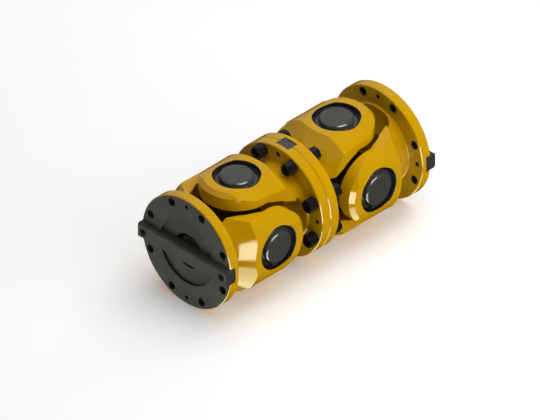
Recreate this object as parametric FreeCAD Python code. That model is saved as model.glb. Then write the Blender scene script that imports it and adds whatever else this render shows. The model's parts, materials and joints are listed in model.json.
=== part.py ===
"""Double universal joint shaft with flanged yokes, face keys and roller bearing crosses.

Frame: millimetres. +X runs along the shaft from the input face to the output face, +Z is up.
The origin is the centre of the input flange's mating face.
"""
import FreeCAD, Part
import math
import os

from FreeCAD import Vector

# --- shaft layout -----------------------------------------------------------------------
SHAFT_LENGTH = 640.0          # input mating face to output mating face
JOINT_REACH = 160.0           # mating face of a yoke to the centre of its joint
CENTRE_FACE = SHAFT_LENGTH / 2
INPUT_JOINT = JOINT_REACH
OUTPUT_JOINT = SHAFT_LENGTH - JOINT_REACH

# --- yoke flange ------------------------------------------------------------------------
OUTER_RADIUS = 142.5          # flange rim and the turned outside of the ears
FLANGE_THICKNESS = 27.0
RIM_CHAMFER = 2.0
RECESS_RADIUS = 85.0
RECESS_DEPTH = 7.0
POCKET_RADIUS = 44.5          # annular pocket round a turned boss, in the recess floor
POCKET_DEPTH = 24.0
BOSS_RADIUS = 35.5
BOSS_SETBACK = 10.0           # boss face below the mating face
BOSS_FILLET = 4.0
BOLT_CIRCLE_RADIUS = 125.0
BOLT_COUNT = 8
BOLT_HOLE_RADIUS = 10.5       # end flanges
FITTED_HOLE_RADIUS = 10.25    # centre flanges
JACKING_HOLE_RADIUS = 5.1     # M12 core
KEY_SCREW_HOLE_RADIUS = 5.4   # M12x1.25 core
HOLE_CHAMFER = 0.8

# --- yoke hub and ears ------------------------------------------------------------------
HUB_RADIUS = 97.5
HUB_END = 47.5                # from the mating face, where the 45 degree cone begins
HUB_FILLET = 4.0
WEB_HUMP_RADIUS = 38.0        # raised middle of the throat floor, backing the pocket
WEB_HUMP_BASE_RADIUS = 86.0
WEB_HUMP_HEIGHT = 12.0
EAR_TIP_RADIUS = 87.0         # about the bearing axis
EAR_FLAT = 136.0              # spot face round the bearing bore, from the shaft axis
EAR_INNER_FACE = 95.0
EAR_TIP_CHAMFER = 10.0
EAR_BORE_RADIUS = 55.55
EDGE_BREAK = 1.0

# --- fork throat, as distances from the joint centre towards the flange and half widths ---
THROAT_CHEEK_END = 14.0
THROAT_RELIEF_START = 34.0    # round relief that the other yoke's ears swing into
THROAT_RELIEF_END = 66.0
THROAT_RELIEF_CENTRE = 16.0
THROAT_RELIEF_RADIUS = EAR_TIP_RADIUS + 1.5
THROAT_CORNER_START = 92.0
THROAT_CORNER_WIDTH = 63.0
THROAT_FLOOR_WIDTH = 21.0
THROAT_FLOOR = 128.0

# --- face key ---------------------------------------------------------------------------
KEY_WIDTH = 40.0
KEY_THICKNESS = 30.0
KEY_SLOT_DEPTH = KEY_THICKNESS / 2
END_KEY_LENGTH = 282.0
CENTRE_KEY_LENGTH = 279.0
KEY_CHAMFER = 4.0
SLOT_CLEARANCE = 0.05
SCREW_HEAD_RADIUS = 9.0
SCREW_HEAD_HEIGHT = 12.0
SCREW_COUNTERBORE_RADIUS = 9.75
SCREW_COUNTERBORE_DEPTH = 13.0
SCREW_CLEARANCE_RADIUS = 6.75
SCREW_CORE_RADIUS = 5.35
SCREW_LENGTH = 25.0
SCREW_SOCKET_ACROSS = 10.0
SCREW_SOCKET_DEPTH = 6.0

# --- centre flange fasteners ---------------------------------------------------------------
BOLT_RADIUS = 10.0
BOLT_HEAD_ACROSS = 30.0
BOLT_HEAD_HEIGHT = 21.5
NUT_ACROSS = 30.0
NUT_HEIGHT = 25.0
NUT_MOUTH_RADIUS = 11.3       # plain mouth of the nut, ahead of its thread
NUT_MOUTH_DEPTH = 7.0
BOLT_END_SETBACK = 7.0        # bolt end below the nut's face, at the foot of the mouth

# --- trunnion bearing, as distances from the joint centre ------------------------------------
TRUNNION_RADIUS = 38.0
TRUNNION_END = 116.0
ROLLER_RADIUS = 4.98
ROLLER_CIRCLE_RADIUS = 43.02
ROLLER_COUNT = 26
ROLLER_START = 92.2
ROLLER_END = 115.4
CUP_BORE_RADIUS = 48.02
CUP_OUTER_RADIUS = 55.5
CUP_MOUTH = 86.0
CUP_FLOOR = 118.1
CUP_SHOULDER = 122.9
CUP_BOSS_RADIUS = 40.5
CUP_BOSS_TOP = 138.0
CUP_BOSS_FILLET = 7.0
WASHER_START = 116.1
WASHER_INNER_RADIUS = 12.0
WASHER_OUTER_RADIUS = 37.0
SEAL_START = 86.6
SEAL_END = 91.8
SEAL_INNER_RADIUS = 38.08
CIRCLIP_START = 123.0
CIRCLIP_END = 127.0
CIRCLIP_OUTER_RADIUS = 58.3
CIRCLIP_INNER_RADIUS = 49.5
CIRCLIP_GAP_HALF_ANGLE = 14.0
CIRCLIP_LUG_ANGLE = 19.0
CIRCLIP_LUG_RADIUS = 5.6
CIRCLIP_LUG_CIRCLE = 50.6
CIRCLIP_HOLE_RADIUS = 2.0
GROOVE_RADIUS = 58.6
GROOVE_SLACK = 0.1

# --- cross ------------------------------------------------------------------------------------
CROSS_BODY_RADIUS = 63.0
CROSS_BODY_HALF_WIDTH = 50.0
CROSS_ARM_RADIUS = 47.0
CROSS_ARM_SHOULDER = 82.0
CROSS_ARM_TAPER = 5.0
GREASE_DUCT_RADIUS = 4.0
NIPPLE_THREAD_RADIUS = 4.0
NIPPLE_THREAD_LENGTH = 8.0

X_AXIS = Vector(1, 0, 0)
Z_AXIS = Vector(0, 0, 1)
ORIGIN = Vector(0, 0, 0)


# --- shape helpers ----------------------------------------------------------------------------
def closed_face(points):
    return Part.Face(Part.makePolygon(points + [points[0]]))


def line(start, end):
    return Part.LineSegment(start, end).toShape()


def arc(start, middle, end):
    return Part.Arc(start, middle, end).toShape()


def turned_about_x(stations):
    """Solid of revolution from (x, radius) stations; it closes along the axis."""
    points = [Vector(x, radius, 0) for x, radius in stations]
    return closed_face(points).revolve(ORIGIN, X_AXIS, 360)


def turned_about_z(stations):
    """Solid of revolution from (radius, z) stations."""
    points = [Vector(radius, 0, z) for radius, z in stations]
    return closed_face(points).revolve(ORIGIN, Z_AXIS, 360)


def cylinder_x(radius, start, end, y=0.0):
    return Part.makeCylinder(radius, end - start, Vector(start, y, 0), X_AXIS)


def cylinder_z(radius, start, end, x=0.0, y=0.0):
    return Part.makeCylinder(radius, end - start, Vector(x, y, start), Z_AXIS)


def box_between(low, high):
    size = Vector(*high) - Vector(*low)
    return Part.makeBox(size.x, size.y, size.z, Vector(*low))


def hexagon_x(across_flats, start, end):
    corner = across_flats / math.sqrt(3)
    angles = [math.radians(60 * step) for step in range(6)]
    points = [Vector(start, corner * math.cos(a), corner * math.sin(a)) for a in angles]
    return closed_face(points).extrude(Vector(end - start, 0, 0))


def rotated(shape, axis, degrees):
    copy = shape.copy()
    copy.rotate(ORIGIN, axis, degrees)
    return copy


def moved(shape, x=0.0, y=0.0):
    copy = shape.copy()
    copy.translate(Vector(x, y, 0))
    return copy


def on_circle(shape, count, first_degrees):
    """Copies of a shape that lies on +Y, spaced evenly round the shaft axis."""
    step = 360.0 / count
    return [rotated(shape, X_AXIS, first_degrees + step * index) for index in range(count)]


def export(name, shape):
    shape.exportStep("parts/" + name + ".step")


# --- flanged yoke: mating face at x = 0, ears along +Y and -Y about x = JOINT_REACH --------------
def flange_disc():
    """Flange with the root of the hub, its fillet, and the hump in the throat's floor."""
    rim = OUTER_RADIUS
    inner = FLANGE_THICKNESS
    floor = JOINT_REACH - THROAT_FLOOR
    corner = HUB_FILLET * (1 - math.sqrt(0.5))
    slope = math.atan2(WEB_HUMP_HEIGHT, WEB_HUMP_BASE_RADIUS - WEB_HUMP_RADIUS)
    sag = (WEB_HUMP_BASE_RADIUS - WEB_HUMP_RADIUS) / 2 * math.tan(slope / 2)
    outline = [
        Vector(0, 0, 0),
        Vector(0, rim - RIM_CHAMFER, 0),
        Vector(RIM_CHAMFER, rim, 0),
        Vector(inner - RIM_CHAMFER, rim, 0),
        Vector(inner, rim - RIM_CHAMFER, 0),
        Vector(inner, HUB_RADIUS + HUB_FILLET, 0),
    ]
    edges = [line(a, b) for a, b in zip(outline, outline[1:])]
    fillet_end = Vector(inner + HUB_FILLET, HUB_RADIUS, 0)
    edges.append(arc(outline[-1], Vector(inner + corner, HUB_RADIUS + corner, 0), fillet_end))
    hub_edge = Vector(floor, HUB_RADIUS, 0)
    hump_foot = Vector(floor, WEB_HUMP_BASE_RADIUS, 0)
    hump_top = Vector(floor + WEB_HUMP_HEIGHT, WEB_HUMP_RADIUS, 0)
    hump_middle = (hump_foot + hump_top) / 2 - Vector(sag, 0, 0)
    edges.append(line(fillet_end, hub_edge))
    edges.append(line(hub_edge, hump_foot))
    edges.append(arc(hump_foot, hump_middle, hump_top))
    edges.append(line(hump_top, Vector(hump_top.x, 0, 0)))
    edges.append(line(Vector(hump_top.x, 0, 0), outline[0]))
    return Part.Face(Part.Wire(edges)).revolve(ORIGIN, X_AXIS, 360)


def turned_hub():
    """Hub, 45 degree cone and the cylinder that the ears are cut from."""
    cone_end = HUB_END + OUTER_RADIUS - HUB_RADIUS
    ear_end = JOINT_REACH + EAR_TIP_RADIUS + 1
    return turned_about_x([
        (FLANGE_THICKNESS, 0),
        (FLANGE_THICKNESS, HUB_RADIUS),
        (HUB_END, HUB_RADIUS),
        (cone_end, OUTER_RADIUS),
        (ear_end, OUTER_RADIUS),
        (ear_end, 0),
    ])


def ear_outline():
    """Prism along Y: a round tip with tangent sides that open out to the hub's width."""
    slope = math.asin((HUB_RADIUS - EAR_TIP_RADIUS) / (JOINT_REACH - FLANGE_THICKNESS))
    tangent_x = JOINT_REACH - EAR_TIP_RADIUS * math.sin(slope)
    tangent_z = EAR_TIP_RADIUS * math.cos(slope)
    root_z = tangent_z + (tangent_x - FLANGE_THICKNESS) * math.tan(slope)
    depth = -OUTER_RADIUS
    tip = Vector(JOINT_REACH + EAR_TIP_RADIUS, depth, 0)
    lower = Vector(tangent_x, depth, -tangent_z)
    upper = Vector(tangent_x, depth, tangent_z)
    root_lower = Vector(FLANGE_THICKNESS, depth, -root_z)
    root_upper = Vector(FLANGE_THICKNESS, depth, root_z)
    wire = Part.Wire([
        line(root_lower, lower),
        arc(lower, tip, upper),
        line(upper, root_upper),
        line(root_upper, root_lower),
    ])
    return Part.Face(wire).extrude(Vector(0, 2 * OUTER_RADIUS, 0))


def throat():
    """Prism along Z between the ears: cheeks, a round relief, then round to the floor."""
    def at(distance, half_width):
        return Vector(JOINT_REACH - distance, half_width, -OUTER_RADIUS)

    def on_relief(distance, side):
        reach = distance - THROAT_RELIEF_CENTRE
        return at(distance, side * math.sqrt(THROAT_RELIEF_RADIUS ** 2 - reach ** 2))

    def half(side):
        """Mouth to floor along one cheek, and the two end points."""
        mouth = at(-EAR_TIP_RADIUS - 2, side * EAR_INNER_FACE)
        cheek_end = at(THROAT_CHEEK_END, side * EAR_INNER_FACE)
        relief_start = on_relief(THROAT_RELIEF_START, side)
        relief_middle = on_relief((THROAT_RELIEF_START + THROAT_RELIEF_END) / 2, side)
        relief_end = on_relief(THROAT_RELIEF_END, side)
        corner = at(THROAT_CORNER_START, side * THROAT_CORNER_WIDTH)
        floor_edge = at(THROAT_FLOOR, side * THROAT_FLOOR_WIDTH)
        bulge = math.sqrt(0.5)
        reach = (THROAT_FLOOR - THROAT_CORNER_START) * bulge
        drop = (THROAT_CORNER_WIDTH - THROAT_FLOOR_WIDTH) * bulge
        middle = at(THROAT_CORNER_START + reach, side * (THROAT_FLOOR_WIDTH + drop))
        edges = [
            line(mouth, cheek_end),
            line(cheek_end, relief_start),
            arc(relief_start, relief_middle, relief_end),
            line(relief_end, corner),
            arc(corner, middle, floor_edge),
        ]
        return edges, mouth, floor_edge

    left_edges, left_mouth, left_floor = half(1)
    right_edges, right_mouth, right_floor = half(-1)
    closing = [line(left_floor, right_floor), line(right_mouth, left_mouth)]
    wire = Part.Wire(Part.__sortEdges__(left_edges + right_edges + closing))
    return Part.Face(wire).extrude(Vector(0, 0, 2 * OUTER_RADIUS))


def ear_tip_chamfer():
    """Conical chamfer about the bearing axis, on the free end of both ears."""
    inner = EAR_TIP_RADIUS - EAR_TIP_CHAMFER
    reach = 40.0
    ring = turned_about_z([
        (inner, EAR_FLAT),
        (inner + reach, EAR_FLAT - reach),
        (inner + reach, EAR_FLAT + reach),
        (inner, EAR_FLAT + reach),
    ])
    ring = rotated(ring, X_AXIS, -90)
    far = inner + reach
    free_side = box_between((0, 0, -far), (far, 2 * OUTER_RADIUS, far))
    one_ear = moved(ring.common(free_side), x=JOINT_REACH)
    return one_ear.fuse(rotated(one_ear, X_AXIS, 180))


def ear_bores():
    """Bearing bore through both ears, its circlip grooves and its chamfered mouths."""
    mouth = EAR_BORE_RADIUS + EDGE_BREAK
    cut = cylinder_z(EAR_BORE_RADIUS, -OUTER_RADIUS, OUTER_RADIUS)
    for side in (0, 180):
        groove = cylinder_z(GROOVE_RADIUS, CIRCLIP_START - GROOVE_SLACK, CIRCLIP_END + GROOVE_SLACK)
        entry = Part.makeCone(EAR_BORE_RADIUS, mouth + EDGE_BREAK, 2 * EDGE_BREAK,
                              Vector(0, 0, EAR_FLAT - EDGE_BREAK), Z_AXIS)
        cut = cut.fuse(rotated(groove, X_AXIS, side))
        cut = cut.fuse(rotated(entry, X_AXIS, side))
    return moved(rotated(cut, X_AXIS, -90), x=JOINT_REACH)


def flange_hole(radius, start, end):
    """Through hole along X, countersunk on the fork's side only, on the bolt circle."""
    hole = cylinder_x(radius, start, end)
    wide = radius + HOLE_CHAMFER
    leave = Part.makeCone(radius, wide, HOLE_CHAMFER, Vector(end - HOLE_CHAMFER, 0, 0), X_AXIS)
    return moved(hole.fuse(leave), y=BOLT_CIRCLE_RADIUS)


def flange_holes(bolt_hole_radius):
    """Eight bolt holes, two jacking holes on the Z line and two key screw holes on the Y line."""
    clearance = flange_hole(bolt_hole_radius, 0, FLANGE_THICKNESS)
    jacking = flange_hole(JACKING_HOLE_RADIUS, 0, FLANGE_THICKNESS)
    tapped = flange_hole(KEY_SCREW_HOLE_RADIUS, 0, FLANGE_THICKNESS)
    holes = on_circle(clearance, BOLT_COUNT, 180.0 / BOLT_COUNT)
    return holes + on_circle(jacking, 2, 90) + on_circle(tapped, 2, 0)


def key_slot():
    half = KEY_WIDTH / 2 + SLOT_CLEARANCE
    return box_between((-1, -OUTER_RADIUS, -half), (KEY_SLOT_DEPTH, OUTER_RADIUS, half))


def mating_face_recess():
    """Turned recess and the annular pocket inside it, round a boss with a rounded edge."""
    corner = BOSS_FILLET * (1 - math.sqrt(0.5))
    start = Vector(BOSS_SETBACK, 0, 0)
    boss_edge = Vector(BOSS_SETBACK, BOSS_RADIUS - BOSS_FILLET, 0)
    boss_side = Vector(BOSS_SETBACK + BOSS_FILLET, BOSS_RADIUS, 0)
    rounded = Vector(BOSS_SETBACK + corner, BOSS_RADIUS - corner, 0)
    outline = [
        boss_side,
        Vector(POCKET_DEPTH, BOSS_RADIUS, 0),
        Vector(POCKET_DEPTH, POCKET_RADIUS, 0),
        Vector(RECESS_DEPTH, POCKET_RADIUS, 0),
        Vector(RECESS_DEPTH, RECESS_RADIUS, 0),
        Vector(-1, RECESS_RADIUS, 0),
        Vector(-1, 0, 0),
        start,
    ]
    edges = [line(start, boss_edge), arc(boss_edge, rounded, boss_side)]
    edges += [line(a, b) for a, b in zip(outline, outline[1:])]
    return Part.Face(Part.Wire(edges)).revolve(ORIGIN, X_AXIS, 360)


def flange_yoke(bolt_hole_radius):
    fork = turned_hub().common(ear_outline())
    flats = box_between((0, -EAR_FLAT, -OUTER_RADIUS), (2 * JOINT_REACH, EAR_FLAT, OUTER_RADIUS))
    fork = fork.common(flats).cut(throat()).cut(ear_tip_chamfer())
    yoke = flange_disc().fuse(fork).removeSplitter()
    for tool in [mating_face_recess(), key_slot(), ear_bores()] + flange_holes(bolt_hole_radius):
        yoke = yoke.cut(tool)
    return yoke


# --- face key and its screws: flange mating face at x = 0, key along Y -----------------------------
def key_screw_holes():
    seat = SCREW_COUNTERBORE_DEPTH - KEY_SLOT_DEPTH
    for y in (-BOLT_CIRCLE_RADIUS, BOLT_CIRCLE_RADIUS):
        yield cylinder_x(SCREW_CLEARANCE_RADIUS, -KEY_SLOT_DEPTH, KEY_SLOT_DEPTH, y)
        yield cylinder_x(SCREW_COUNTERBORE_RADIUS, -KEY_SLOT_DEPTH, seat, y)


def face_key(chamfer, length):
    """Bar that stands half its thickness out of the slot; the proud long edges are chamfered."""
    half = KEY_WIDTH / 2
    proud = -KEY_SLOT_DEPTH
    end = length / 2
    section = [
        Vector(proud, -end, -half + chamfer),
        Vector(proud + chamfer, -end, -half),
        Vector(KEY_SLOT_DEPTH, -end, -half),
        Vector(KEY_SLOT_DEPTH, -end, half),
        Vector(proud + chamfer, -end, half),
        Vector(proud, -end, half - chamfer),
    ]
    bar = closed_face(section).extrude(Vector(0, length, 0))
    for hole in key_screw_holes():
        bar = bar.cut(hole)
    return bar


def key_screws():
    """Two socket head screws through the key into the flange's tapped holes."""
    seat = SCREW_COUNTERBORE_DEPTH - KEY_SLOT_DEPTH
    top = seat - SCREW_HEAD_HEIGHT
    head = turned_about_x([
        (top, 0),
        (top, SCREW_HEAD_RADIUS - 1),
        (top + 1, SCREW_HEAD_RADIUS),
        (seat, SCREW_HEAD_RADIUS),
        (seat, SCREW_CORE_RADIUS),
        (seat + SCREW_LENGTH - 1, SCREW_CORE_RADIUS),
        (seat + SCREW_LENGTH, SCREW_CORE_RADIUS - 1),
        (seat + SCREW_LENGTH, 0),
    ])
    socket = hexagon_x(SCREW_SOCKET_ACROSS, top, top + SCREW_SOCKET_DEPTH)
    screw = moved(head.cut(socket), y=BOLT_CIRCLE_RADIUS)
    return Part.makeCompound([screw, rotated(screw, X_AXIS, 180)])


# --- centre flange bolts and nuts: joint face of the two centre flanges at x = 0 --------------------
def hexagon_with_rounded_end(across_flats, start, end):
    """Hexagon along +X whose far corners are turned off at 30 degrees."""
    corner = across_flats / math.sqrt(3)
    flat = across_flats / 2
    drop = (corner - flat) * math.tan(math.radians(30)) + 0.6
    envelope = turned_about_x([
        (start, 0),
        (start, corner + 0.1),
        (end - drop, corner + 0.1),
        (end, flat - 0.3),
        (end, 0),
    ])
    return hexagon_x(across_flats, start, end).common(envelope)


def centre_bolts():
    """Heads against the output side flange, threaded ends out of the input side flange."""
    grip = FLANGE_THICKNESS
    end = -(grip + NUT_HEIGHT - BOLT_END_SETBACK)
    shank = turned_about_x([
        (end, 0),
        (end, BOLT_RADIUS - 1.5),
        (end + 1.5, BOLT_RADIUS),
        (grip, BOLT_RADIUS),
        (grip, 0),
    ])
    head = hexagon_with_rounded_end(BOLT_HEAD_ACROSS, grip, grip + BOLT_HEAD_HEIGHT)
    bolt = moved(shank.fuse(head), y=BOLT_CIRCLE_RADIUS)
    return Part.makeCompound(on_circle(bolt, BOLT_COUNT, 180.0 / BOLT_COUNT))


def centre_lock_nuts():
    """Tall hexagon lock nuts with a plain mouth, against the input side flange."""
    face = FLANGE_THICKNESS
    top = face + NUT_HEIGHT
    hexagon = hexagon_with_rounded_end(NUT_ACROSS, face, top)
    thread = cylinder_x(BOLT_RADIUS + 0.02, face, top)
    mouth = cylinder_x(NUT_MOUTH_RADIUS, top - NUT_MOUTH_DEPTH, top)
    nut = moved(hexagon.cut(thread).cut(mouth), y=BOLT_CIRCLE_RADIUS)
    nuts = on_circle(nut, BOLT_COUNT, 180.0 / BOLT_COUNT)
    return Part.makeCompound([rotated(each, Z_AXIS, 180) for each in nuts])


# --- trunnion bearing: joint centre at the origin, trunnion along +Z --------------------------------
def bearing_cup():
    boss_edge = CUP_BOSS_RADIUS
    cup = turned_about_z([
        (0, CUP_FLOOR),
        (CUP_BORE_RADIUS, CUP_FLOOR),
        (CUP_BORE_RADIUS, CUP_MOUTH),
        (CUP_OUTER_RADIUS - EDGE_BREAK, CUP_MOUTH),
        (CUP_OUTER_RADIUS, CUP_MOUTH + EDGE_BREAK),
        (CUP_OUTER_RADIUS, CUP_SHOULDER - EDGE_BREAK),
        (CUP_OUTER_RADIUS - EDGE_BREAK, CUP_SHOULDER),
        (boss_edge, CUP_SHOULDER),
        (boss_edge, CUP_BOSS_TOP),
        (0, CUP_BOSS_TOP),
    ])
    rim = [edge for edge in cup.Edges if is_circle_at(edge, boss_edge, CUP_BOSS_TOP)]
    return cup.makeFillet(CUP_BOSS_FILLET, rim)


def is_circle_at(edge, radius, height):
    box = edge.BoundBox
    flat = box.ZLength < 0.01 and abs(box.ZMax - height) < 0.01
    return flat and abs(box.XMax - radius) < 0.01


def rollers():
    roller = cylinder_z(ROLLER_RADIUS, ROLLER_START, ROLLER_END, x=ROLLER_CIRCLE_RADIUS)
    step = 360.0 / ROLLER_COUNT
    return Part.makeCompound([rotated(roller, Z_AXIS, step * index) for index in range(ROLLER_COUNT)])


def thrust_washer():
    washer = cylinder_z(WASHER_OUTER_RADIUS, WASHER_START, CUP_FLOOR)
    return washer.cut(cylinder_z(WASHER_INNER_RADIUS, WASHER_START, CUP_FLOOR))


def lip_seal():
    """Ring pressed into the cup's mouth, with two lips towards the trunnion."""
    middle = (SEAL_START + SEAL_END) / 2
    back = SEAL_INNER_RADIUS + 2.5
    return turned_about_z([
        (SEAL_INNER_RADIUS, SEAL_START),
        (CUP_BORE_RADIUS, SEAL_START),
        (CUP_BORE_RADIUS, SEAL_END),
        (SEAL_INNER_RADIUS, SEAL_END),
        (SEAL_INNER_RADIUS, SEAL_END - 1),
        (back, middle),
        (SEAL_INNER_RADIUS, SEAL_START + 1),
    ])


def circlip():
    """Internal retaining ring, open towards -Y, with a plier hole in the lug at each end."""
    ring = cylinder_z(CIRCLIP_OUTER_RADIUS, CIRCLIP_START, CIRCLIP_END)
    ring = ring.cut(cylinder_z(CIRCLIP_INNER_RADIUS, CIRCLIP_START, CIRCLIP_END))
    lug_span = (CIRCLIP_START, CIRCLIP_END)
    spots = []
    for side in (-1, 1):
        angle = math.radians(-90 + side * CIRCLIP_LUG_ANGLE)
        spots.append((CIRCLIP_LUG_CIRCLE * math.cos(angle), CIRCLIP_LUG_CIRCLE * math.sin(angle)))
    for x, y in spots:
        ring = ring.fuse(cylinder_z(CIRCLIP_LUG_RADIUS, *lug_span, x, y))
    for x, y in spots:
        ring = ring.cut(cylinder_z(CIRCLIP_HOLE_RADIUS, *lug_span, x, y))
    reach = 2 * CIRCLIP_OUTER_RADIUS
    spread = reach * math.tan(math.radians(CIRCLIP_GAP_HALF_ANGLE))
    wedge = [
        Vector(0, 0, CIRCLIP_START),
        Vector(-spread, -reach, CIRCLIP_START),
        Vector(spread, -reach, CIRCLIP_START),
    ]
    gap = closed_face(wedge).extrude(Vector(0, 0, CIRCLIP_END - CIRCLIP_START))
    return ring.cut(gap)


BEARING_PIECES = {
    "cup": bearing_cup,
    "rollers": rollers,
    "thrust_washer": thrust_washer,
    "lip_seal": lip_seal,
    "circlip": circlip,
}


# --- cross: joint centre at the origin, trunnions along Y and Z, grease nipple towards -X ----------------
def cross_arm():
    """One arm along +Z: tapered neck, shoulder, and the ground trunnion with a chamfered end."""
    return turned_about_z([
        (0, 0),
        (CROSS_ARM_RADIUS + CROSS_ARM_TAPER, 0),
        (CROSS_ARM_RADIUS, CROSS_ARM_SHOULDER),
        (TRUNNION_RADIUS, CROSS_ARM_SHOULDER),
        (TRUNNION_RADIUS, TRUNNION_END - EDGE_BREAK),
        (TRUNNION_RADIUS - EDGE_BREAK, TRUNNION_END),
        (0, TRUNNION_END),
    ])


def cross():
    half = CROSS_BODY_HALF_WIDTH
    body = Part.makeSphere(CROSS_BODY_RADIUS)
    for quarter in range(4):
        body = body.fuse(rotated(cross_arm(), X_AXIS, 90 * quarter))
    reach = TRUNNION_END + 1
    body = body.common(box_between((-half, -reach, -reach), (half, reach, reach)))
    body = body.removeSplitter()
    duct = cylinder_z(GREASE_DUCT_RADIUS, -TRUNNION_END, TRUNNION_END)
    body = body.cut(duct)
    body = body.cut(rotated(duct, X_AXIS, 90))
    return body.cut(cylinder_x(NIPPLE_THREAD_RADIUS, -half, 0))


def grease_nipple():
    """Hexagon body with a conical neck and a ball head, screwed into the cross's -X face."""
    seat = -CROSS_BODY_HALF_WIDTH
    stem = turned_about_x([
        (seat + NIPPLE_THREAD_LENGTH, 0),
        (seat + NIPPLE_THREAD_LENGTH, NIPPLE_THREAD_RADIUS - 0.05),
        (seat, NIPPLE_THREAD_RADIUS - 0.05),
        (seat, 5.5),
        (seat - 6, 4.5),
        (seat - 9, 2.6),
        (seat - 11, 2.6),
        (seat - 13, 3.3),
        (seat - 15, 3.0),
        (seat - 16, 1.8),
        (seat - 16, 0),
    ])
    return stem.fuse(hexagon_x(12, seat - 6, seat)).removeSplitter()


# --- assembly ---------------------------------------------------------------------------------------------
def facing_back(shape, face_x):
    """A yoke part turned end for end, its mating face at face_x and its ears still along Y."""
    return moved(rotated(shape, Z_AXIS, 180), x=face_x)


def ears_upright(shape):
    """A part whose ears or key lie along Y, turned so that they lie along Z."""
    return rotated(shape, X_AXIS, 90)


def export_yokes():
    end_yoke = flange_yoke(BOLT_HOLE_RADIUS)
    centre_yoke = ears_upright(flange_yoke(FITTED_HOLE_RADIUS))
    export("input_flange_yoke", end_yoke)
    export("centre_yoke_input_side", facing_back(centre_yoke, CENTRE_FACE))
    export("centre_yoke_output_side", moved(centre_yoke, x=CENTRE_FACE))
    export("output_flange_yoke", facing_back(end_yoke, SHAFT_LENGTH))


def export_keys():
    end_key = face_key(KEY_CHAMFER, END_KEY_LENGTH)
    centre_key = face_key(EDGE_BREAK, CENTRE_KEY_LENGTH)
    screws = key_screws()
    export("input_face_key", end_key)
    export("input_key_screws", screws)
    export("output_face_key", facing_back(end_key, SHAFT_LENGTH))
    export("output_key_screws", facing_back(screws, SHAFT_LENGTH))
    export("centre_face_key", facing_back(ears_upright(centre_key), CENTRE_FACE))
    export("centre_key_screws", facing_back(ears_upright(screws), CENTRE_FACE))


def export_centre_fasteners():
    export("centre_flange_bolts", moved(centre_bolts(), x=CENTRE_FACE))
    export("centre_flange_lock_nuts", moved(centre_lock_nuts(), x=CENTRE_FACE))


def export_crosses():
    spider = cross()
    nipple = grease_nipple()
    export("input_cross", moved(spider, x=INPUT_JOINT))
    export("input_grease_nipple", moved(nipple, x=INPUT_JOINT))
    export("output_cross", facing_back(spider, OUTPUT_JOINT))
    export("output_grease_nipple", facing_back(nipple, OUTPUT_JOINT))


def export_bearings():
    """Each ear's bearing: left is +Y and right is -Y, seen from the input end.

    An ear has its joint, the turn that points the bearing outwards, and the turn of its
    circlip's gap about the bearing axis.
    """
    ears = {
        "input_left": (INPUT_JOINT, -90, 180),
        "input_right": (INPUT_JOINT, 90, 0),
        "centre_input_upper": (INPUT_JOINT, 0, -45),
        "centre_input_lower": (INPUT_JOINT, 180, 45),
        "centre_output_upper": (OUTPUT_JOINT, 0, -45),
        "centre_output_lower": (OUTPUT_JOINT, 180, 45),
        "output_left": (OUTPUT_JOINT, -90, 180),
        "output_right": (OUTPUT_JOINT, 90, 0),
    }
    for piece, make in BEARING_PIECES.items():
        shape = make()
        for ear, (joint_x, outward, gap) in ears.items():
            clocked = rotated(shape, Z_AXIS, gap) if piece == "circlip" else shape
            export(ear + "_" + piece, moved(rotated(clocked, X_AXIS, outward), x=joint_x))


os.makedirs("parts", exist_ok=True)
export_yokes()
export_keys()
export_centre_fasteners()
export_crosses()
export_bearings()
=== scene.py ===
"""Looks, light and camera for the universal joint shaft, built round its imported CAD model.

Everything is in metres, in the CAD frame: +X along the shaft from the input face, +Z up.
"""
import json
import math

import bmesh
import bpy
from mathutils import Matrix, Vector

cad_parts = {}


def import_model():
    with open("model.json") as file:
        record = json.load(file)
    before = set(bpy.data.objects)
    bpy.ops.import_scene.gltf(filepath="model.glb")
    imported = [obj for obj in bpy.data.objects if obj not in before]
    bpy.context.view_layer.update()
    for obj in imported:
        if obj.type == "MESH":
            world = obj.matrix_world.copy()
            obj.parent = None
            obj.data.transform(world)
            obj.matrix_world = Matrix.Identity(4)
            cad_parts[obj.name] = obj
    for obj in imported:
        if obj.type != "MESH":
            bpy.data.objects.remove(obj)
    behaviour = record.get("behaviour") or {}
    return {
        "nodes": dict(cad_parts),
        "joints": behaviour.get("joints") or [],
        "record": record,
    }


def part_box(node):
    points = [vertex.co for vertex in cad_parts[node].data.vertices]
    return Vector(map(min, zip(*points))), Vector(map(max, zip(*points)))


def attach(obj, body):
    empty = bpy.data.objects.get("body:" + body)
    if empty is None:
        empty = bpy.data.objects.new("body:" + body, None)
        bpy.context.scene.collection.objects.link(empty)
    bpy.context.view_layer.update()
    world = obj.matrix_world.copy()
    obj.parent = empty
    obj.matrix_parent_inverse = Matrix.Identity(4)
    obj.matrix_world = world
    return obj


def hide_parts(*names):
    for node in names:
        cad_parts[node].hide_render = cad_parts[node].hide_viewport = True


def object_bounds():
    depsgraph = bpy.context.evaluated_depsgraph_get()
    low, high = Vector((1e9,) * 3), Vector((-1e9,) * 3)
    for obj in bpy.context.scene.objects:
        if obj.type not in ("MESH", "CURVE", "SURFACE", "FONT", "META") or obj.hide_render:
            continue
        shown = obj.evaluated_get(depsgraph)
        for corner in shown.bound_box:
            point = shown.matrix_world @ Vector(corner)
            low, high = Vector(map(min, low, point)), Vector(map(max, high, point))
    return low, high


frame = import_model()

CAD_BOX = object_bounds()
NODES = frame["nodes"]
MM = 0.001

SHAFT_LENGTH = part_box("output_flange_yoke")[1].x
CENTRE_FACE = SHAFT_LENGTH / 2
JOINT_REACH = frame["joints"][0]["pos_m"][0]
FLANGE_THICKNESS = 27.0 * MM
BOLT_CIRCLE = frame["record"]["mounts"][0]["dims"]["pcd_mm"] / 2 * MM
BOLT_ANGLES = [math.radians(22.5 + 45 * step) for step in range(8)]


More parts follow.
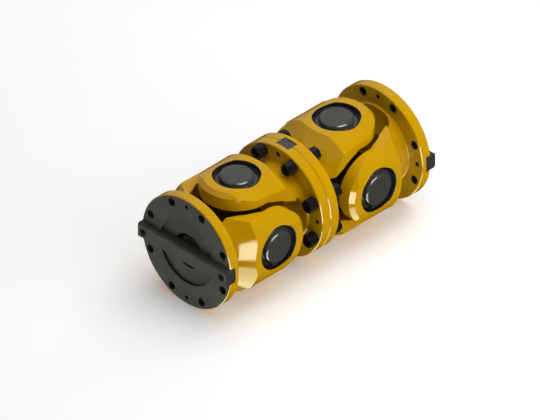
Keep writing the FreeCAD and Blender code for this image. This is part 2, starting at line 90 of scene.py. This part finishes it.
# --- shader nodes -----------------------------------------------------------------------------


class Shader:
    """A material's node tree with a Principled surface, and short ways to add nodes to it."""

    def __init__(self, name, metallic=0.0):
        self.material = bpy.data.materials.new(name)
        self.material.use_nodes = True
        self.tree = self.material.node_tree
        self.surface = self.tree.nodes["Principled BSDF"]
        self.set("Metallic", metallic)
        self.place = self.add("ShaderNodeTexCoord").outputs["Object"]

    def set(self, name, value):
        self.surface.inputs[name].default_value = value

    def add(self, kind, **values):
        """A node; each value sets a property, or an input if it is a number or an output."""
        made = self.tree.nodes.new(kind)
        for name, value in values.items():
            if hasattr(made, name) and not isinstance(value, bpy.types.NodeSocket):
                setattr(made, name, value)
            else:
                self.feed(made.inputs[name.replace("_", " ")], value)
        return made

    def feed(self, socket, value):
        if isinstance(value, bpy.types.NodeSocket):
            self.tree.links.new(value, socket)
        else:
            socket.default_value = value

    def noise(self, scale, detail=2.0, stretch=(1, 1, 1)):
        """Noise of about 1 / scale metres across, squeezed by stretch along each axis."""
        at = self.place
        if tuple(stretch) != (1, 1, 1):
            mapping = self.add("ShaderNodeMapping", Vector=at)
            mapping.inputs["Scale"].default_value = stretch
            at = mapping.outputs["Vector"]
        made = self.add("ShaderNodeTexNoise", Vector=at, Scale=scale, Detail=detail)
        return made.outputs["Fac"]

    def rings(self, centre, axis, pitch):
        """Fine turned rings about an axis through centre, pi times the pitch apart."""
        mapping = self.add("ShaderNodeMapping", Vector=self.place)
        mapping.inputs["Location"].default_value = [-value for value in centre]
        wave = self.add("ShaderNodeTexWave", Vector=mapping.outputs["Vector"],
                        wave_type="RINGS", rings_direction=axis)
        wave.inputs["Scale"].default_value = 0.1 / pitch
        wave.inputs["Distortion"].default_value = 1.5
        wave.inputs["Detail"].default_value = 2.0
        wave.inputs["Detail Scale"].default_value = 2.0
        return wave.outputs["Fac"]

    def ramp(self, value, low, high, start, end):
        """value from low to high turned into start to end, clamped."""
        made = self.add("ShaderNodeMapRange", Value=value)
        made.inputs["From Min"].default_value = low
        made.inputs["From Max"].default_value = high
        made.inputs["To Min"].default_value = start
        made.inputs["To Max"].default_value = end
        return made.outputs["Result"]

    def mix(self, factor, first, second):
        made = self.add("ShaderNodeMix", data_type="RGBA")
        colours = [s for s in made.inputs if s.type == "RGBA"]
        self.feed(made.inputs[0], factor)
        self.feed(colours[0], first)
        self.feed(colours[1], second)
        return [s for s in made.outputs if s.type == "RGBA"][0]

    def math(self, operation, first, second):
        made = self.add("ShaderNodeMath", operation=operation)
        self.feed(made.inputs[0], first)
        self.feed(made.inputs[1], second)
        return made.outputs["Value"]

    def rounded_edges(self, radius):
        return self.add("ShaderNodeBevel", samples=4, Radius=radius).outputs["Normal"]

    def edge_mask(self, rounded):
        """1 on edges, where the rounded normal leaves the true one, and 0 on open faces."""
        true_normal = self.add("ShaderNodeNewGeometry").outputs["Normal"]
        dot = self.add("ShaderNodeVectorMath", operation="DOT_PRODUCT")
        self.feed(dot.inputs[0], rounded)
        self.feed(dot.inputs[1], true_normal)
        return self.ramp(dot.outputs["Value"], 0.995, 0.85, 0.0, 1.0)

    def bump(self, height, depth, normal=None):
        made = self.add("ShaderNodeBump", Height=height, Strength=1.0, Distance=depth)
        if normal is not None:
            self.feed(made.inputs["Normal"], normal)
        return made.outputs["Normal"]

    def finish(self, colour=None, roughness=None, normal=None):
        for name, value in (("Base Color", colour), ("Roughness", roughness), ("Normal", normal)):
            if value is not None:
                self.feed(self.surface.inputs[name], value)
        return self.material


def rgba(red, green, blue):
    return (red, green, blue, 1.0)


# --- materials --------------------------------------------------------------------------------
def yellow_enamel(name, deep, light, gloss):
    """Machine enamel: faint orange peel, slow tone shifts, thin worn paint on edges."""
    paint = Shader(name)
    colour = paint.mix(paint.ramp(paint.noise(14, 4), 0.3, 0.7, 0, 1), deep, light)
    rounded = paint.rounded_edges(0.6 * MM)
    patches = paint.ramp(paint.noise(130, 5), 0.52, 0.7, 0.0, 0.5)
    worn = paint.math("MULTIPLY", paint.edge_mask(rounded), patches)
    colour = paint.mix(worn, colour, rgba(0.36, 0.18, 0.012))
    specks = paint.ramp(paint.noise(900, 2), 0.71, 0.78, 0.0, 0.35)
    colour = paint.mix(specks, colour, rgba(0.5, 0.27, 0.004))
    roughness = paint.ramp(paint.noise(45, 6), 0.25, 0.75, *gloss)
    flow = paint.bump(paint.noise(55, 2), 0.012 * MM, rounded)
    peel = paint.bump(paint.noise(420, 2), 0.0025 * MM, flow)
    return paint.finish(colour, roughness, peel)


def machined_steel(name, dark, light, rings=None, along=None, roughness=(0.34, 0.5),
                   metallic=0.0, pitch=0.9 * MM, edge_radius=0.6 * MM):
    """Darkened machined steel, with turned rings about an axis or ground lines along one."""
    steel = Shader(name, metallic)
    if rings:
        grain = steel.rings(*rings, pitch)
        streaks = steel.noise(260, 3)
    else:
        stretch = [1, 1, 1]
        if along:
            stretch["XYZ".index(along)] = 0.03
        grain = steel.noise(1500, 2, stretch)
        streaks = steel.noise(240, 3, stretch)
    cloud = steel.noise(22, 5)
    tone = steel.math("ADD", steel.math("MULTIPLY", streaks, 0.5),
                      steel.math("MULTIPLY", cloud, 0.5))
    colour = steel.mix(steel.ramp(tone, 0.35, 0.65, 0, 1), dark, light)
    rounded = steel.rounded_edges(edge_radius)
    bright = [min(1.0, 1.8 * value) for value in light[:3]]
    wear = steel.math("MULTIPLY", steel.edge_mask(rounded), steel.ramp(cloud, 0.4, 0.6, 0.15, 0.7))
    colour = steel.mix(wear, colour, rgba(*bright))
    rough = steel.ramp(steel.math("ADD", grain, cloud), 0.6, 1.4, *roughness)
    return steel.finish(colour, rough, steel.bump(grain, 0.004 * MM, rounded))


def black_oxide():
    """Oiled black oxide on fasteners: nearly black metal with a soft sheen."""
    steel = Shader("black_oxide", metallic=0.3)
    steel.set("Specular IOR Level", 0.35)
    cloud = steel.noise(90, 4)
    colour = steel.mix(steel.ramp(cloud, 0.35, 0.65, 0, 1), rgba(0.013, 0.0125, 0.012),
                       rgba(0.021, 0.0205, 0.02))
    rounded = steel.rounded_edges(0.35 * MM)
    wear = steel.math("MULTIPLY", steel.edge_mask(rounded), steel.ramp(cloud, 0.45, 0.6, 0.1, 0.6))
    colour = steel.mix(wear, colour, rgba(0.075, 0.072, 0.068))
    rough = steel.ramp(steel.noise(300, 4), 0.3, 0.7, 0.18, 0.28)
    return steel.finish(colour, rough, steel.bump(steel.noise(500, 3), 0.001 * MM, rounded))


def forged_steel():
    steel = Shader("forged_steel", metallic=0.5)
    cloud = steel.noise(60, 6)
    colour = steel.mix(steel.ramp(cloud, 0.35, 0.65, 0, 1), rgba(0.022, 0.021, 0.02),
                       rgba(0.05, 0.047, 0.043))
    scale = steel.bump(steel.noise(260, 5), 0.05 * MM, steel.rounded_edges(1.5 * MM))
    return steel.finish(colour, steel.ramp(cloud, 0.3, 0.7, 0.45, 0.7), scale)


def nitrile_rubber():
    rubber = Shader("nitrile_rubber")
    cloud = rubber.noise(200, 4)
    colour = rubber.mix(rubber.ramp(cloud, 0.3, 0.7, 0, 1), rgba(0.012, 0.012, 0.012),
                        rgba(0.022, 0.022, 0.022))
    rough = rubber.ramp(cloud, 0.3, 0.7, 0.5, 0.68)
    return rubber.finish(colour, rough, rubber.bump(rubber.noise(2500, 2), 0.01 * MM))


def zinc_plate():
    zinc = Shader("zinc_plate", metallic=1.0)
    cloud = zinc.noise(350, 4)
    colour = zinc.mix(zinc.ramp(cloud, 0.3, 0.7, 0, 1), rgba(0.42, 0.38, 0.27),
                      rgba(0.6, 0.57, 0.46))
    rounded = zinc.rounded_edges(0.3 * MM)
    return zinc.finish(colour, zinc.ramp(cloud, 0.3, 0.7, 0.25, 0.42),
                       zinc.bump(zinc.noise(1500, 3), 0.004 * MM, rounded))


YELLOW = yellow_enamel("yellow_enamel", rgba(0.605, 0.325, 0.0008), rgba(0.64, 0.348, 0.0012),
                       gloss=(0.085, 0.16))
# A darker, less glossy copy of the enamel for the faces behind the flanges: painted shade there.
SHADE_PAINTED_YELLOW = yellow_enamel("shade_painted_yellow_enamel", rgba(0.455, 0.3, 0.0006),
                            rgba(0.51, 0.335, 0.001), gloss=(0.2, 0.34))
BARE_DARK, BARE_LIGHT = rgba(0.118, 0.122, 0.102), rgba(0.156, 0.161, 0.134)
FACE_STEEL = machined_steel("turned_face_steel", BARE_DARK, BARE_LIGHT, rings=((0, 0, 0), "X"))
# Unpainted bored steel, drawn near black as painted shade in the bores, recesses, key slots and
# holes.
BORE_SHADE_STEEL = machined_steel("bored_steel_with_painted_shade", rgba(0.016, 0.016, 0.02), rgba(0.03, 0.03, 0.036),
                            roughness=(0.4, 0.6))
END_KEY_STEEL = machined_steel("end_key_steel", BARE_DARK, BARE_LIGHT, along="Y")
# A darker copy of the end key steel for the keys' flanks: painted shade, while the faces along X
# keep the lighter steel.
KEY_FLANK_SHADE_STEEL = machined_steel("key_flank_painted_shade_steel", rgba(0.034, 0.033, 0.031),
                                 rgba(0.046, 0.045, 0.042), along="Y")
CENTRE_KEY_STEEL = machined_steel("centre_key_steel", rgba(0.055, 0.058, 0.055),
                                  rgba(0.08, 0.083, 0.08), along="Z")
FASTENER = black_oxide()
SCREW_STEEL = machined_steel("screw_steel", rgba(0.05, 0.05, 0.048), rgba(0.075, 0.075, 0.07),
                             roughness=(0.3, 0.45), metallic=0.4)
CIRCLIP_STEEL = machined_steel("circlip_steel", rgba(0.012, 0.012, 0.014),
                               rgba(0.024, 0.024, 0.027), roughness=(0.35, 0.5), metallic=0.3)
ROLLER_STEEL = machined_steel("roller_steel", rgba(0.4, 0.4, 0.42), rgba(0.55, 0.55, 0.57),
                              roughness=(0.15, 0.25), metallic=1.0, edge_radius=0.3 * MM)
FORGED = forged_steel()
RUBBER = nitrile_rubber()
ZINC = zinc_plate()


def give(node, *materials):
    slots = NODES[node].data.materials
    slots.clear()
    for material in materials:
        slots.append(material)


# --- yokes: paint outside, bare metal on the mating face, in the bores and in the holes ---------
# Finish indices; the bored steel and the darker enamel carry painted shade.
PAINT, TURNED, BORED_IN_SHADE, SHADE_PAINTED_FACE = range(4)

RECESS_REACH = 24.5 * MM
RECESS_RADIUS = 85.2 * MM
RECESS_FLOOR = 7.1 * MM
KEY_SLOT_DEPTH = 15.1 * MM
KEY_SLOT_HALF = 20.2 * MM
KEY_SLOT_RADIUS = 142.3 * MM
BORE_REACH = 58.75 * MM
BORE_START = 80.0 * MM
GROOVE_START = 122.0 * MM
GROOVE_END = 128.0 * MM
BOLT_HOLE_REACH = 11.4 * MM
SCREW_HOLE_REACH = 6.0 * MM
ON_FACE = 0.05 * MM

SCREW_ANGLES = [math.radians(90 * step) for step in range(4)]
HOLE_SPOTS = [(BOLT_CIRCLE * math.cos(angle), BOLT_CIRCLE * math.sin(angle), reach)
              for angles, reach in ((BOLT_ANGLES, BOLT_HOLE_REACH),
                                    (SCREW_ANGLES, SCREW_HOLE_REACH))
              for angle in angles]


def yoke_place(node):
    """Two functions that turn a point and a normal of this yoke into (depth, along, across).

    depth counts from its mating face, along runs with its ears, and across is the third axis.
    """
    low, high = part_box(node)
    ears_upright = node.startswith("centre")
    back = node in ("centre_yoke_input_side", "output_flange_yoke")
    face = high.x if back else low.x
    sign = -1 if back else 1

    def place(point):
        along, across = (point.z, point.y) if ears_upright else (point.y, point.z)
        return sign * (point.x - face), along, across

    def turn(normal):
        along, across = (normal.z, normal.y) if ears_upright else (normal.y, normal.z)
        return sign * normal.x, along, across

    return place, turn


def yoke_finish(at, normal):
    """The finish of a yoke's face at this place: paint, turned steel, near-black bored steel
    (partly painted shade) or the darker enamel (painted shade).
    """
    depth, along, across = at
    facing, leaning, _ = normal
    radius = math.hypot(along, across)
    # Within the face recess only the shallow floor stays turned steel; its walls, pocket and boss
    # get the near-black steel as painted shade.
    if depth < RECESS_REACH and radius < RECESS_RADIUS:
        return TURNED if facing < -0.9 and depth < RECESS_FLOOR else BORED_IN_SHADE
    # The key slot's walls get the near-black steel: a painted shadow line round the key.
    if depth < KEY_SLOT_DEPTH and abs(across) < KEY_SLOT_HALF and radius < KEY_SLOT_RADIUS:
        return BORED_IN_SHADE
    if depth < ON_FACE:
        return TURNED
    # The bearing bores, their grooves and the bolt and screw holes below get the near-black steel,
    # partly painted shade.
    from_axis = math.hypot(depth - JOINT_REACH, across)
    if from_axis < BORE_REACH and abs(along) > BORE_START:
        if abs(leaning) < 0.9 or GROOVE_START < abs(along) < GROOVE_END:
            return BORED_IN_SHADE
    if depth < FLANGE_THICKNESS + 0.1 * MM and abs(facing) < 0.8:
        for y, z, reach in HOLE_SPOTS:
            if math.hypot(along - y, across - z) < reach:
                return BORED_IN_SHADE
    # The flanges' fork-side faces take the darker enamel: painted shade.
    if abs(depth - FLANGE_THICKNESS) < ON_FACE and facing > 0.9:
        return SHADE_PAINTED_FACE
    return PAINT


YOKES_AND_KEYS = bpy.data.collections.new("yokes_and_keys")
for node in ("input_flange_yoke", "centre_yoke_input_side", "centre_yoke_output_side",
             "output_flange_yoke"):
    give(node, YELLOW, FACE_STEEL, BORE_SHADE_STEEL, SHADE_PAINTED_YELLOW)
    YOKES_AND_KEYS.objects.link(NODES[node])
    place, turn = yoke_place(node)
    for polygon in NODES[node].data.polygons:
        polygon.material_index = yoke_finish(place(polygon.center), turn(polygon.normal))

# --- bearings ----------------------------------------------------------------------------------
CUPS = bpy.data.collections.new("cups")
CUP_DARK, CUP_LIGHT = rgba(0.09, 0.088, 0.079), rgba(0.108, 0.106, 0.095)
for joint_x, pairs in ((JOINT_REACH, ("input", "centre_input")),
                       (SHAFT_LENGTH - JOINT_REACH, ("output", "centre_output"))):
    for prefix in pairs:
        upright = prefix.startswith("centre")
        sides = ("upper", "lower") if upright else ("left", "right")
        axis = "Z" if upright else "Y"
        cup_steel = machined_steel(prefix + "_cup_steel", CUP_DARK, CUP_LIGHT,
                                   rings=((joint_x, 0, 0), axis), roughness=(0.1, 0.16),
                                   metallic=0.7, pitch=0.7 * MM)
        for side in sides:
            ear = prefix + "_" + side
            give(ear + "_cup", cup_steel)
            CUPS.objects.link(NODES[ear + "_cup"])
            give(ear + "_circlip", CIRCLIP_STEEL)
            give(ear + "_rollers", ROLLER_STEEL)
            give(ear + "_thrust_washer", ROLLER_STEEL)
            give(ear + "_lip_seal", RUBBER)

# --- crosses, keys and their screws ------------------------------------------------------------
for prefix in ("input", "output"):
    give(prefix + "_cross", FORGED)
    give(prefix + "_grease_nipple", ZINC)
    give(prefix + "_face_key", END_KEY_STEEL, KEY_FLANK_SHADE_STEEL)
    YOKES_AND_KEYS.objects.link(NODES[prefix + "_face_key"])
    # Faces not facing along X take the darker copy: painted shade on the key flanks.
    for polygon in NODES[prefix + "_face_key"].data.polygons:
        polygon.material_index = int(abs(polygon.normal.x) < 0.9)
    give(prefix + "_key_screws", SCREW_STEEL)
give("centre_face_key", CENTRE_KEY_STEEL)
give("centre_key_screws", FASTENER)

# --- centre flange bolts and lock nuts ---------------------------------------------------------
TURNS = 72
HEX_FLAT = 15.0 * MM
HEX_CORNER = 17.25 * MM
HEX_TOP_RADIUS = 14.6 * MM
HEX_TOP_DROP = 0.15 * MM
THREAD_PITCH = 2.5 * MM
THREAD_TOP = 9.95 * MM
THREAD_ROOT = 8.6 * MM
THREAD_START = 0.4 * MM
THREAD_LENGTH = 9.6 * MM
THREAD_RINGS = 44
WASHER_FACE = 0.5 * MM
HEAD_DISH = 0.35 * MM
NUT_BORE = 10.02 * MM
FLAT_UP = Matrix.Rotation(math.radians(30), 4, "X")


def hexagon_radius(angle):
    """Distance to a hexagon's side, with its corners turned off."""
    folded = (angle + math.pi / 6) % (math.pi / 3) - math.pi / 6
    return min(HEX_FLAT / math.cos(folded), HEX_CORNER)


def thread_radius(angle, x):
    """Radius of a right-hand thread with flat crests and roots."""
    phase = (x / THREAD_PITCH - angle / math.tau) % 1.0
    ridge = min(1.0, max(0.0, 1.5 - 3 * abs(phase - 0.5)))
    return THREAD_ROOT + (THREAD_TOP - THREAD_ROOT) * ridge


def skin(mesh, rings, centre_first=None, centre_last=None):
    """Joins rings of vertices, each a function of the angle giving (x, radius).

    centre_first and centre_last close the first and last ring onto a point of the axis there.
    """
    made = []
    for ring in rings:
        row = []
        for step in range(TURNS):
            angle = math.tau * step / TURNS
            x, radius = ring(angle)
            row.append(mesh.verts.new((x, radius * math.cos(angle), radius * math.sin(angle))))
        made.append(row)
    for first, second in zip(made, made[1:]):
        for step in range(TURNS):
            after = (step + 1) % TURNS
            mesh.faces.new((first[step], first[after], second[after], second[step]))
    if centre_first is not None:
        tip = mesh.verts.new((centre_first, 0, 0))
        for step in range(TURNS):
            mesh.faces.new((made[0][(step + 1) % TURNS], made[0][step], tip))
    if centre_last is not None:
        tip = mesh.verts.new((centre_last, 0, 0))
        for step in range(TURNS):
            mesh.faces.new((made[-1][step], made[-1][(step + 1) % TURNS], tip))
    return made


def fixed(x, radius):
    """A plain round ring."""
    return lambda angle: (x, radius)


def hexagon_rings(start, end):
    """The two rings of a hexagon's sides from start to end, chamfered at both faces."""
    slope = math.tan(math.radians(30))
    sign = 1 if end > start else -1

    def upper(angle):
        radius = hexagon_radius(angle)
        return end - sign * (HEX_TOP_DROP + (radius - HEX_TOP_RADIUS) * slope), radius

    def lower(angle):
        radius = hexagon_radius(angle)
        return start + sign * (radius - HEX_TOP_RADIUS) * slope * 0.6, radius

    return [lower, upper]


def bolt_mesh():
    """One bolt along +X: threaded end at negative X, head against x = FLANGE_THICKNESS."""
    mesh = bmesh.new()
    low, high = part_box("centre_flange_bolts")
    end = low.x - CENTRE_FACE
    top = high.x - CENTRE_FACE
    grip = FLANGE_THICKNESS
    seat = grip + WASHER_FACE
    dish = top - HEAD_DISH
    rings = [fixed(end, 7.4 * MM), fixed(end + 0.15 * MM, 7.9 * MM)]
    for step in range(THREAD_RINGS):
        x = end + THREAD_START + THREAD_LENGTH * step / (THREAD_RINGS - 1)

        def threaded(angle, x=x):
            lead_in = 8.1 * MM + (x - end)
            return x, min(thread_radius(angle, x), lead_in)

        rings.append(threaded)
    rings += [fixed(end + 10.4 * MM, THREAD_TOP), fixed(grip, THREAD_TOP)]
    rings += [fixed(grip, 13.9 * MM), fixed(seat, 14.4 * MM)]
    rings += hexagon_rings(seat, top)
    rings += [fixed(top, 14.3 * MM), fixed(top, 10.6 * MM), fixed(dish, 10.1 * MM)]
    skin(mesh, rings, centre_first=end, centre_last=dish)
    return mesh


def nut_mesh():
    """One tall lock nut along -X against x = -FLANGE_THICKNESS, with a plain mouth."""
    mesh = bmesh.new()
    face = -FLANGE_THICKNESS
    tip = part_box("centre_flange_lock_nuts")[0].x - CENTRE_FACE
    rings = [
        fixed(tip + 7.6 * MM, NUT_BORE),
        fixed(tip + 7.0 * MM, 11.2 * MM),
        fixed(tip + 1.1 * MM, 11.25 * MM),
        fixed(tip + 0.5 * MM, 11.5 * MM),
        fixed(tip, 12.1 * MM),
        fixed(tip, 13.6 * MM),
        fixed(tip + 0.25 * MM, 14.2 * MM),
    ]
    lower, upper = hexagon_rings(face, tip)
    rings += [upper, lower, fixed(face, 14.3 * MM), fixed(face, NUT_BORE)]
    made = skin(mesh, rings)
    for step in range(TURNS):
        after = (step + 1) % TURNS
        mesh.faces.new((made[-1][step], made[-1][after], made[0][after], made[0][step]))
    return mesh


def set_round(one, name, node):
    """Copies one fastener to the centre flanges' eight holes, a flat upwards, as one piece."""
    bmesh.ops.recalc_face_normals(one, faces=one.faces)
    whole = bmesh.new()
    for angle in BOLT_ANGLES:
        place = Matrix.Translation((CENTRE_FACE, BOLT_CIRCLE * math.cos(angle),
                                    BOLT_CIRCLE * math.sin(angle)))
        piece = bpy.data.meshes.new("one")
        one.to_mesh(piece)
        piece.transform(place @ FLAT_UP)
        whole.from_mesh(piece)
        bpy.data.meshes.remove(piece)
    data = bpy.data.meshes.new(name)
    whole.to_mesh(data)
    one.free()
    whole.free()
    data.materials.append(FASTENER)
    made = bpy.data.objects.new(name, data)
    bpy.context.scene.collection.objects.link(made)
    data.shade_smooth()
    data.set_sharp_from_angle(angle=math.radians(24))
    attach(made, "centre")
    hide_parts(node)


set_round(bolt_mesh(), "flange_bolts_threaded", "centre_flange_bolts")
set_round(nut_mesh(), "lock_nuts_tall", "centre_flange_lock_nuts")

# --- floor, light and camera -------------------------------------------------------------------
MIDDLE = Vector((CENTRE_FACE, 0, 0))
FLOOR_HEIGHT = CAD_BOX[0].z
FLOOR_HALF = 2.0
FADE_START = 0.9
FADE_END = 1.9
LIGHT_DISTANCE = 4.0
CARD_DISTANCE = 9.0
VIEW_WIDTH = 1.2223
VIEW_RIGHT = 0.1889
VIEW_UP = 0.0956
CAMERA_DISTANCE = 4.0


def floor():
    """A pale ground at the shaft's lowest point, whose rim fades into the white beyond it."""
    mesh = bmesh.new()
    bmesh.ops.create_grid(mesh, x_segments=2, y_segments=2, size=FLOOR_HALF)
    data = bpy.data.meshes.new("floor")
    mesh.to_mesh(data)
    mesh.free()
    made = bpy.data.objects.new("floor", data)
    made.location = (CENTRE_FACE, 0, FLOOR_HEIGHT)
    bpy.context.scene.collection.objects.link(made)
    pale = Shader("pale_floor")
    pale.set("Roughness", 0.9)
    pale.set("Emission Color", rgba(1, 1, 1))
    pale.set("Emission Strength", 0.17)
    tone = pale.ramp(pale.noise(3, 3), 0.3, 0.7, 0, 1)
    from_middle = pale.add("ShaderNodeVectorMath", operation="LENGTH")
    pale.feed(from_middle.inputs[0], pale.place)
    pale.feed(pale.surface.inputs["Alpha"],
              pale.ramp(from_middle.outputs["Value"], FADE_START, FADE_END, 1.0, 0.0))
    colour = pale.mix(tone, rgba(0.95, 0.95, 0.95), rgba(0.97, 0.97, 0.97))
    data.materials.append(pale.finish(colour))
    made.visible_glossy = False


def world(strength, horizon):
    """White all round: strength lights the shaft, horizon is what the camera sees."""
    made = bpy.data.worlds.new("studio")
    bpy.context.scene.world = made
    made.use_nodes = True
    tree = made.node_tree
    back = tree.nodes["Background"]
    back.inputs["Color"].default_value = rgba(1, 1, 1)
    back.inputs["Strength"].default_value = strength
    seen = tree.nodes.new("ShaderNodeBackground")
    seen.inputs["Color"].default_value = rgba(1, 1, 1)
    seen.inputs["Strength"].default_value = horizon
    path = tree.nodes.new("ShaderNodeLightPath")
    mix = tree.nodes.new("ShaderNodeMixShader")
    tree.links.new(path.outputs["Is Camera Ray"], mix.inputs[0])
    tree.links.new(back.outputs[0], mix.inputs[1])
    tree.links.new(seen.outputs[0], mix.inputs[2])
    tree.links.new(mix.outputs[0], tree.nodes["World Output"].inputs["Surface"])
    made.cycles_visibility.glossy = False


def softbox(name, direction, radiance, spread, gloss_on=None):
    """A square light that faces the shaft, spread degrees wide as seen from it.

    It lights without showing in reflections, or shows only in those of a collection's objects.
    """
    data = bpy.data.lights.new(name, "AREA")
    data.shape = "SQUARE"
    data.size = 2 * LIGHT_DISTANCE * math.tan(math.radians(spread / 2))
    data.energy = radiance * math.pi * data.size ** 2
    made = bpy.data.objects.new(name, data)
    towards = Vector(direction).normalized()
    made.location = MIDDLE + towards * LIGHT_DISTANCE
    made.rotation_euler = (-towards).to_track_quat("-Z", "Y").to_euler()
    made.visible_camera = False
    made.visible_glossy = gloss_on is not None
    if gloss_on:
        data.diffuse_factor = 0
        made.light_linking.receiver_collection = gloss_on
    bpy.context.scene.collection.objects.link(made)


def card(name, corners, radiance, colour, gloss_on=None):
    """A glowing card seen only in reflections, or only in a collection's.

    Its corners are directions from the shaft's middle.
    """
    data = bpy.data.meshes.new(name)
    points = [MIDDLE + Vector(corner).normalized() * CARD_DISTANCE for corner in corners]
    data.from_pydata(points, [], [tuple(range(len(points)))])
    made = bpy.data.objects.new(name, data)
    bpy.context.scene.collection.objects.link(made)
    glow = bpy.data.materials.new(name)
    glow.use_nodes = True
    tree = glow.node_tree
    tree.nodes.clear()
    emission = tree.nodes.new("ShaderNodeEmission")
    emission.inputs["Strength"].default_value = radiance
    emission.inputs["Color"].default_value = rgba(*colour)
    output = tree.nodes.new("ShaderNodeOutputMaterial")
    tree.links.new(emission.outputs[0], output.inputs["Surface"])
    glow.cycles.emission_sampling = "NONE"
    data.materials.append(glow)
    made.visible_camera = False
    made.visible_diffuse = False
    made.visible_shadow = False
    made.visible_transmission = False
    made.light_linking.receiver_collection = gloss_on


floor()
world(0.06, 1.0)

# Direction, radiance and spread in degrees; then the objects whose reflections show it.
SOFTBOXES = {
    "overhead": ((0.1, -0.1, 1.0), 2.1, 60),
    "front": ((0.2, -1.0, 0.35), 1.4, 60),
    "high_right": ((0.8, 0.2, 0.9), 0.85, 50),
    "cup_sheen": ((0.0, -0.68, 0.73), 6.0, 46, CUPS),
    "cup_glint": ((-0.45, -0.56, -0.64), 5.4, 50, CUPS),
}
for name, values in SOFTBOXES.items():
    softbox(name, *values)

# Corners, radiance and colour; then the objects whose reflections show it.
CARDS = {
    "card_far": ([(-0.95, -0.35, 0.42), (0.9, 0.33, 0.55), (0.9, 1.6, -0.6), (-1.2, 1.2, -0.2)],
                 0.36, (1, 1, 1)),
    "card_front": ([(-0.95, -0.62, -0.09), (-0.62, -0.80, -0.09), (-0.45, -0.72, -0.53),
                    (-0.72, -0.45, -0.53)], 13.2, (1, 1, 0.74), YOKES_AND_KEYS),
    "card_low": ([(-0.62, -0.36, -0.716), (-0.36, -0.62, -0.716), (0.12, -0.1, -0.994),
                  (-0.2, 0.2, -0.994)], 6.2, (0.95, 1, 0.62), YOKES_AND_KEYS),
}
for name, values in CARDS.items():
    card(name, *values)

camera_data = bpy.data.cameras.new("camera")
camera_data.type = "ORTHO"
camera_data.ortho_scale = VIEW_WIDTH
camera_data.clip_end = 50
camera = bpy.data.objects.new("camera", camera_data)
bpy.context.scene.collection.objects.link(camera)
BACK = Vector((-1, -1, 1)).normalized()
RIGHT = Vector((1, -1, 0)).normalized()
UP = BACK.cross(RIGHT)
camera.location = RIGHT * VIEW_RIGHT + UP * VIEW_UP + BACK * CAMERA_DISTANCE
camera.rotation_euler = Matrix((RIGHT, UP, BACK)).transposed().to_euler()
bpy.context.scene.camera = camera
bpy.context.scene.view_settings.view_transform = "Standard"
